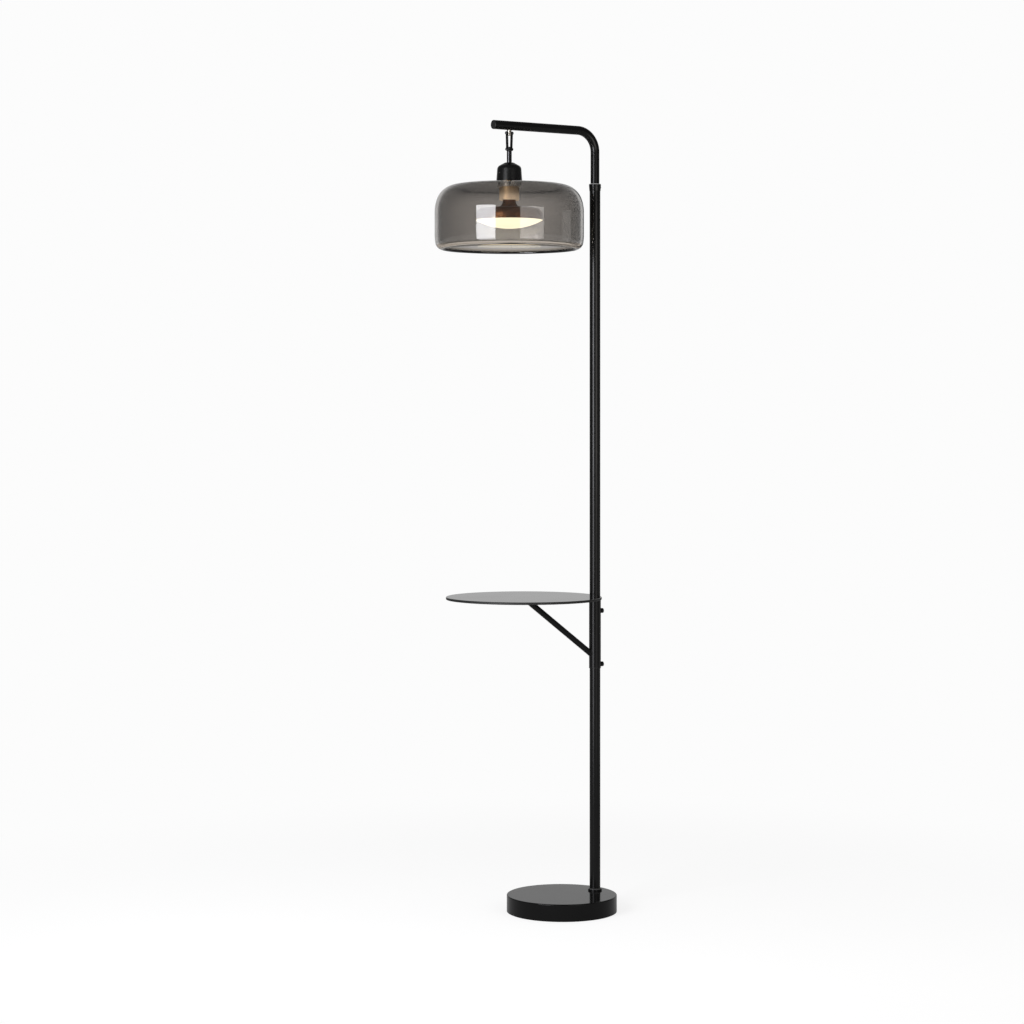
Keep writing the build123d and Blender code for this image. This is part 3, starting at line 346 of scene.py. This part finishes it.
# foam rubber pad: dead matt, cells of about a millimetre
finishes["foam"] = surface({
    "name": "closedCellFoam", "dark": "#181818", "light": "#262626", "edge": "#2c2c2c", "rubAndHighlight": 0.3,
    "edgeMm": 0.5, "cloudMm": 10, "smearMm": 8, "rough": (0.8, 0.95),
    "reliefMm": 1.2, "reliefDepthMm": 0.25, "sockets": {"IOR": 1.5, "Specular IOR Level": 0.2}})
# cast silicone of the gasket: grey, dull
finishes["silicone"] = surface({
    "name": "castSilicone", "dark": "#8d8a86", "light": "#a09d98", "edge": "#b2afaa", "rubAndHighlight": 0.3,
    "edgeMm": 0.3, "cloudMm": 12, "smearMm": 8, "rough": (0.45, 0.6),
    "reliefMm": 1.0, "reliefDepthMm": 0.02, "sockets": {"IOR": 1.41}})
# pressed steatite of the lampholder's insert: off-white, a slight sheen
finishes["ceramic"] = surface({
    "name": "pressedSteatite", "dark": "#d8d5cc", "light": "#e6e3db", "edge": "#efece5", "rubAndHighlight": 0.3,
    "edgeMm": 0.4, "cloudMm": 10, "smearMm": 8, "rough": (0.35, 0.5),
    "reliefMm": 1.0, "reliefDepthMm": 0.02, "sockets": {"IOR": 1.6}})
# tempered glass, black through: near black in front and a mirror at a low angle, with a dull ground edge
discEdge = {"top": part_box("shelf_disc")[1].z, "polishedMm": 0.4, "fadeMm": 0.2, "rough": 0.6}
groundFrom = discEdge["top"] - discEdge["polishedMm"] / 1000
finishes["blackGlass"] = surface({
    "ground": {"from": groundFrom, "to": groundFrom - discEdge["fadeMm"] / 1000, "rough": discEdge["rough"]},
    "name": "blackTemperedGlass", "dark": "#060606", "light": "#0b0b0b", "edge": "#1e2221", "rubAndHighlight": 0.5,
    "edgeMm": 0.5, "cloudMm": 120, "smearMm": 70, "rough": (0.05, 0.11),
    "reliefMm": 40, "reliefDepthMm": 0.02, "sockets": {"IOR": 1.52}})
# moulded opal acrylic, lit from behind: an even warm white
finishes["opal"] = surface({
    "name": "litOpalAcrylic", "dark": "#f4ead0", "light": "#fbf3dc", "edge": "#fff8e6", "rubAndHighlight": 0.2,
    "edgeMm": 0.5, "cloudMm": 30, "smearMm": 20, "rough": (0.30, 0.40),
    "reliefMm": 1.5, "reliefDepthMm": 0.01,
    "sockets": {"IOR": 1.49, "Emission Color": linear("#fff5d2"), "Emission Strength": 2.3}})

# smoked glass: a grey-brown film on each face, the inner one denser at a slant, so the wall darkens towards
# its sides behind a light outer edge; the rolled lip is tinted darker and warmer, a painted shade with a
# painted warm reflection of the lamp
smoke = {"outside": ("#a4a19e", "#aaa7a4"), "inside": ("#c1bcb7", "#c6c1bc"), "lip": ("#8d8275", "#93887b"),
         "slanted": "#101010", "slantBlend": 0.7, "shadowTint": "#c6c4c2", "ior": 1.52, "waveMm": 70,
         "waveDetail": 2.0, "waveDepthMm": 0.06, "polish": 0.02}


# one face of the blown glass: clear polish and faint waves; a shadow ray meets only a tint, so that light
# reaches the lamp inside
def smokedFace(name, faceTint, slanted=None):
    material = bpy.data.materials.new(name)
    material.use_nodes = True
    tree = material.node_tree
    shader = tree.nodes["Principled BSDF"]
    shader.inputs["IOR"].default_value = smoke["ior"]
    shader.inputs["Transmission Weight"].default_value = 1.0
    where = addNode(tree, "ShaderNodeTexCoord")
    streak = addNode(tree, "ShaderNodeTexNoise",
                     {"Scale": perMetre(smoke["waveMm"]), "Detail": smoke["waveDetail"]},
                     {"Vector": where.outputs["Object"]})
    tint = addNode(tree, "ShaderNodeMix", {"data_type": "RGBA", 6: linear(faceTint[0]), 7: linear(faceTint[1])},
                   {0: streak.outputs["Fac"]})
    if slanted:
        slant = addNode(tree, "ShaderNodeLayerWeight", {"Blend": smoke["slantBlend"]})
        tint = addNode(tree, "ShaderNodeMix", {"data_type": "RGBA", 7: linear(slanted)},
                       {0: slant.outputs["Facing"], 6: tint.outputs[2]})
    tree.links.new(tint.outputs[2], shader.inputs["Base Color"])
    polish = addNode(tree, "ShaderNodeMapRange", {"To Min": 0.0, "To Max": smoke["polish"]},
                     {"Value": streak.outputs["Fac"]})
    tree.links.new(polish.outputs[0], shader.inputs["Roughness"])
    waves = addNode(tree, "ShaderNodeBump", {"Strength": 1.0, "Distance": smoke["waveDepthMm"] / 1000},
                    {"Height": streak.outputs["Fac"]})
    tree.links.new(waves.outputs["Normal"], shader.inputs["Normal"])
    path = addNode(tree, "ShaderNodeLightPath")
    shade = addNode(tree, "ShaderNodeBsdfTransparent", {"Color": linear(smoke["shadowTint"])})
    either = addNode(tree, "ShaderNodeMixShader", None,
                     {0: path.outputs["Is Shadow Ray"], 1: shader.outputs["BSDF"], 2: shade.outputs["BSDF"]})
    tree.links.new(either.outputs["Shader"], tree.nodes["Material Output"].inputs["Surface"])
    return material


finishes["smokedGlass"] = smokedFace("blownSmokedGlass", smoke["outside"])
finishes["smokedInside"] = smokedFace("filmedInnerGlass", smoke["inside"], smoke["slanted"])
# the rolled lip: darker and warmer, a painted shade with a painted warm reflection of the lamp
finishes["smokedLipPaintedShade"] = smokedFace("lipPaintedShadeGlass", smoke["lip"])

wears = {
    "powderCoat": ["pole_lower", "pole_upper", "arm_tube", "hanger_links", "shelf_sleeve",
                   "thumb_bosses", "shelf_strip", "shelf_brace", "shelf_plate"],
    "ferruleCoat": ["ferrule"],
    "collarCoat": ["foot_collar"],
    "baseCoat": ["base_cover"],
    "capPaint": ["socket_cap"],
    "blackNickel": ["hanger_upper_pin", "hanger_lower_pin", "stem", "ferrule_screw", "thumbscrew_upper",
                    "thumbscrew_lower"],
    "zinc": ["pole_nipple", "nipple_washer", "nipple_nut", "pole_plug", "pole_coupler", "shelf_screws"],
    "brass": ["lampholder", "centre_contact"],
    "nickel": ["lamp_cap", "shade_ring", "hanger_lug"],
    "bronze": ["lamp_housing"],
    "board": ["led_board"],
    "castIron": ["base_weight"],
    "nylon": ["arm_end_cap", "shelf_bushes"],
    "whiteNylon": ["arm_seat"],
    "rubber": ["cord_inlet"],
    "foam": ["floor_pad"],
    "silicone": ["shade_gasket"],
    "ceramic": ["lampholder_insert"],
    "blackGlass": ["shelf_disc"],
    "opal": ["lamp_diffuser"],
    "smokedGlass": ["glass_shade"],
}
for finish, wearers in wears.items():
    for name in wearers:
        nodes[name].data.materials.clear()
        nodes[name].data.materials.append(finishes[finish])
print("finishes on", sum(len(w) for w in wears.values()), "nodes")


# a closed section turned about an upright axis, smooth except at corners; each finish begins at a point of it
def turned(name, section, middle, segments, cornerDegrees, finishAt):
    mesh = bpy.data.meshes.new(name)
    shape = bmesh.new()
    rings = []
    for step in range(segments):
        angle = 2 * math.pi * step / segments
        rings.append([shape.verts.new((middle.x + r * math.cos(angle), middle.y + r * math.sin(angle), z))
                      for r, z in section])
    count = len(section)
    for step in range(segments):
        here, there = rings[step], rings[(step + 1) % segments]
        for i in range(count):
            j = (i + 1) % count
            face = shape.faces.new((here[i], there[i], there[j], here[j]))
            face.material_index = sum(i >= begin for finish, begin in finishAt) - 1
            face.smooth = True
    bmesh.ops.recalc_face_normals(shape, faces=shape.faces)
    for edge in shape.edges:
        edge.smooth = edge.calc_face_angle(0) < math.radians(cornerDegrees)
    shape.to_mesh(mesh)
    shape.free()
    for finish, begin in finishAt:
        mesh.materials.append(finishes[finish])
    piece = bpy.data.objects.new(name, mesh)
    scene.collection.objects.link(piece)
    return piece


# points along an arc, from one angle to another, both ends included
def arc(middleR, middleZ, radius, start, stop, steps):
    points = []
    for i in range(steps + 1):
        angle = math.radians(start + (stop - start) * i / steps)
        points.append((middleR + radius * math.cos(angle), middleZ + radius * math.sin(angle)))
    return points


# blown glass drum: crown, shoulder, wall drawn in at both ends and rolled lip, thinning from wall to crown;
# thicknesses and radii in metres, slopes in degrees
drum = {"wall": 0.006, "roof": 0.003, "hole": 0.021, "crownSlope": 5.0, "shoulder": 0.042, "barrel": 0.080,
        "drawIn": 20.0, "lower": 0.110, "lowerDraw": 9.0, "lip": 0.016, "lipRoll": 80.0, "segments": 256,
        "crownSteps": 14, "shoulderSteps": 24, "barrelSteps": 12, "lowerSteps": 8, "lipSteps": 24,
        "lipPaintedShadeSteps": 18, "rimSteps": 14, "innerLipSteps": 20, "cornerDegrees": 35}
wall, shoulder, barrel, lower, lip = (drum[key] for key in ("wall", "shoulder", "barrel", "lower", "lip"))
slope, drawIn, draw, roll = (drum[key] for key in ("crownSlope", "drawIn", "lowerDraw", "lipRoll"))
drumRadius = (glassHigh.x - glassLow.x) / 2
barrelR, lowerR = drumRadius - barrel, drumRadius - lower
lipR = lowerR + (lower - lip) * math.cos(math.radians(draw))
shoulderR = barrelR + (barrel - shoulder) * math.cos(math.radians(drawIn))
crown = shoulderR / math.sin(math.radians(slope)) + shoulder
crownZ = glassHigh.z - math.sqrt(crown ** 2 - drum["hole"] ** 2)
shoulderZ = crownZ + (crown - shoulder) * math.cos(math.radians(slope))
barrelZ = shoulderZ - (barrel - shoulder) * math.sin(math.radians(drawIn))
rimRoll = lip - wall / 2
lipZ = glassLow.z + wall / 2 + rimRoll * math.sin(math.radians(roll))
lowerZ = lipZ + (lower - lip) * math.sin(math.radians(draw))
rimR = lipR + rimRoll * math.cos(math.radians(roll))
rimZ = lipZ - rimRoll * math.sin(math.radians(roll))
# the inner shoulder touches the inner crown and the inner wall
innerCrown, innerBarrel = crown - drum["roof"], barrel - wall
along = Vector((math.cos(math.radians(drawIn)), math.sin(math.radians(drawIn))))
innerStart = Vector((barrelR, barrelZ - crownZ)) + innerBarrel * along
innerShoulder = (innerStart.length_squared - innerCrown ** 2) / (2 * (innerStart.dot(along) - innerCrown))
innerMiddle = innerStart - innerShoulder * along
innerZ = innerMiddle.y + crownZ
innerSlope = math.degrees(math.asin(innerMiddle.x / (innerCrown - innerShoulder)))
holeOuter, holeInner = (math.degrees(math.asin(drum["hole"] / r)) for r in (crown, innerCrown))
section = arc(0, crownZ, crown, 90 - holeOuter, 90 - slope, drum["crownSteps"])
section += arc(shoulderR, shoulderZ, shoulder, 90 - slope, drawIn, drum["shoulderSteps"])[1:]
section += arc(barrelR, barrelZ, barrel, drawIn, 0, drum["barrelSteps"])[1:]
section += arc(lowerR, lowerZ, lower, 0, -draw, drum["lowerSteps"])
section += arc(lipR, lipZ, lip, -draw, -roll, drum["lipSteps"])[1:]
lipStop = len(section) - 1
lipStart = lipStop - drum["lipPaintedShadeSteps"]
section += arc(rimR, rimZ, wall / 2, -roll, -roll - 180, drum["rimSteps"])[1:]
insideStart = len(section) - 1
section += arc(lipR, lipZ, lip - wall, -roll, -draw, drum["innerLipSteps"])[1:]
section += arc(lowerR, lowerZ, lower - wall, -draw, 0, drum["lowerSteps"])[1:]
section += arc(barrelR, barrelZ, innerBarrel, 0, drawIn, drum["barrelSteps"])
section += arc(innerMiddle.x, innerZ, innerShoulder, drawIn, 90 - innerSlope, drum["shoulderSteps"])[1:]
section += arc(0, crownZ, innerCrown, 90 - innerSlope, 90 - holeInner, drum["crownSteps"])[1:]
# the outer face, the rolled lip with its painted shade, the outer face again, then the inner face
faceTints = [("smokedGlass", 0), ("smokedLipPaintedShade", lipStart), ("smokedGlass", lipStop), ("smokedInside", insideStart)]
smokedDrum = turned("smoked_drum", section, shadeAxis, drum["segments"], drum["cornerDegrees"], faceTints)
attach(smokedDrum, "head")
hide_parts("glass_shade")
print("glass drum turned,", len(smokedDrum.data.vertices), "points")

# welds under the coat, at the lug and along the shelf's bracket: radii of the beads and places of the brace
# in metres, ripples, pitch and taper as shares of a bead's radius, the boss as a share of its screw's head
welds = {"lugBead": 0.0009, "braceBead": 0.0008, "stripBead": 0.0008, "bossBead": 0.0006, "ripple": 0.14,
         "ripplePitch": 1.6, "taper": 0.3, "around": 10, "steps": 160, "stripSteps": 60, "braceFoot": 0.522,
         "braceSetback": 0.011, "braceRadius": 0.006, "bossShare": 0.9}


# weld bead: a rippled round run along a line of points, sunk halfway into both pieces
def bead(name, line, axis, radius, closed=True):
    mesh = bpy.data.meshes.new(name)
    shape = bmesh.new()
    count = len(line)
    around = welds["around"]
    rings = []
    travelled = 0
    for i, point in enumerate(line):
        before = line[i - 1] if closed or i else point
        after = line[(i + 1) % count] if closed or i < count - 1 else point
        along = (after - before).normalized()
        outward = along.cross(axis).normalized()
        lift = outward.cross(along)
        travelled += (point - before).length
        wave = math.sin(2 * math.pi * travelled / (welds["ripplePitch"] * radius))
        size = radius * (1 + welds["ripple"] * wave)
        if not closed and i in (0, count - 1):
            size = radius * welds["taper"]
        rings.append([shape.verts.new(point + (outward * math.cos(a) + lift * math.sin(a)) * size)
                      for a in (2 * math.pi * k / around for k in range(around))])
    for i in range(count if closed else count - 1):
        here, there = rings[i], rings[(i + 1) % count]
        for k in range(around):
            j = (k + 1) % around
            shape.faces.new((here[k], here[j], there[j], there[k]))
    if not closed:
        shape.faces.new(rings[0])
        shape.faces.new(rings[-1])
    bmesh.ops.recalc_face_normals(shape, faces=shape.faces)
    for face in shape.faces:
        face.smooth = True
    shape.to_mesh(mesh)
    shape.free()
    mesh.materials.append(finishes["powderCoat"])
    piece = bpy.data.objects.new(name, mesh)
    scene.collection.objects.link(piece)
    return piece


turns = [2 * math.pi * i / welds["steps"] for i in range(welds["steps"])]
armLow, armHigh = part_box("arm_tube")
lugLow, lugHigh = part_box("hanger_lug")
armRadius = (armHigh.y - armLow.y) / 2
lugRadius = (lugHigh.y - lugLow.y) / 2
armZ = armHigh.z - armRadius
lugLine = [Vector((shadeAxis.x + lugRadius * math.cos(t), lugRadius * math.sin(t),
                   armZ - math.sqrt(armRadius ** 2 - (lugRadius * math.sin(t)) ** 2))) for t in turns]
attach(bead("lug_weld", lugLine, Vector((0, 0, 1)), welds["lugBead"]), "arm")

sleeveLow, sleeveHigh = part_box("shelf_sleeve")
stripLow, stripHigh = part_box("shelf_strip")
discLow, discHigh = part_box("shelf_disc")
sleeveRadius = (sleeveHigh.x - sleeveLow.x) / 2
poleX = (sleeveLow.x + sleeveHigh.x) / 2
braceStart = Vector((sleeveLow.x, 0, welds["braceFoot"]))
braceStop = Vector(((discLow.x + discHigh.x) / 2 + welds["braceSetback"], 0, stripLow.z))
braceAlong = (braceStop - braceStart).normalized()
braceSide = Vector((0, 1, 0))
braceUp = braceAlong.cross(braceSide)
footLine, headLine = [], []
for t in turns:
    edge = braceStart + (braceSide * math.cos(t) + braceUp * math.sin(t)) * welds["braceRadius"]
    sleeveX = poleX - math.sqrt(sleeveRadius ** 2 - edge.y ** 2)
    footLine.append(edge + braceAlong * ((sleeveX - edge.x) / braceAlong.x))
    headLine.append(edge + braceAlong * ((stripLow.z - edge.z) / braceAlong.z))
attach(bead("brace_foot_weld", footLine, braceAlong, welds["braceBead"]), "shelf")
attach(bead("brace_head_weld", headLine, braceAlong, welds["braceBead"]), "shelf")

stripHalf = (stripHigh.y - stripLow.y) / 2
stripTurn = math.asin(stripHalf / sleeveRadius)
stripSteps = welds["stripSteps"]
stripLine = [Vector((poleX - sleeveRadius * math.cos(a), sleeveRadius * math.sin(a), stripLow.z))
             for a in (stripTurn * (2 * i / stripSteps - 1) for i in range(stripSteps + 1))]
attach(bead("strip_weld", stripLine, Vector((0, 0, 1)), welds["stripBead"], closed=False), "shelf")
for side in ("upper", "lower"):
    screwLow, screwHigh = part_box(f"thumbscrew_{side}")
    bossRadius = (screwHigh.z - screwLow.z) / 2 * welds["bossShare"]
    bossZ = (screwLow.z + screwHigh.z) / 2
    bossLine = []
    for t in turns:
        y = bossRadius * math.cos(t)
        x = poleX + math.sqrt(sleeveRadius ** 2 - y ** 2)
        bossLine.append(Vector((x, y, bossZ + bossRadius * math.sin(t))))
    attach(bead(f"{side}_boss_weld", bossLine, Vector((1, 0, 0)), welds["bossBead"]), "shelf")
print("welds laid")
